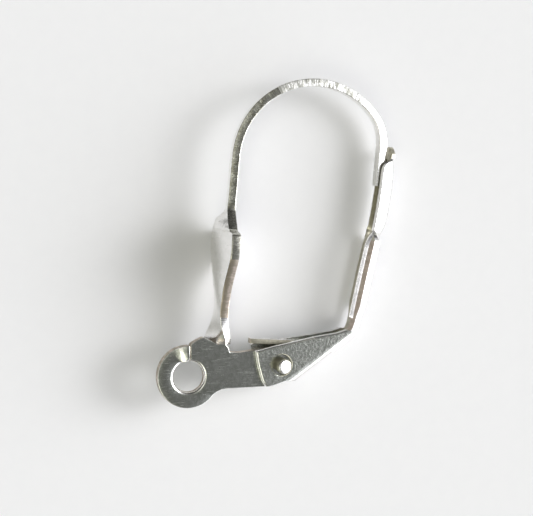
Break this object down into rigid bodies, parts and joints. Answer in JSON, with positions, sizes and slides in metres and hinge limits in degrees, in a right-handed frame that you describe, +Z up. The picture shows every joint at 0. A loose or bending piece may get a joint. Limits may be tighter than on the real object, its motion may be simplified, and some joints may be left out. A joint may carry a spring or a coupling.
{
  "type": "lever-back earring",
  "caption": "Lever-back ear wire with a domed shell, an open split eye for a pendant and a hinged lever that closes over the end of the wire.",
  "frame": {"origin": "on the surface that the closed earring lies on, under the middle of its box", "axes": "+Z up from the surface, +Y from the hinge and the eye towards the arch, +X from the shell towards the lever"},
  "size_m": [0.0142, 0.0186, 0.0041],
  "materials": {
    "plated_wire": "silver-coloured plating on brass, stamped, with fine scratches and tool marks",
    "plated_lever": "silver-coloured plating on brass, stamped and folded, with drawn sheared edges",
    "plated_pin": "silver-coloured plating, cut wire with a bright end"
  },
  "bodies": {
    "root": {"ear_wire": "plated_wire", "pivot_pin": "plated_pin"},
    "lever": {"lever": "plated_lever"}
  },
  "joints": [
    {"name": "lever_hinge", "type": "hinge", "parent": "root", "child": "lever", "pos_m": [0.00005, -0.00702, 0.00149], "axis": [-0.1193, 0.0296, -0.9924], "range_deg": [0, 85]}
  ]
}
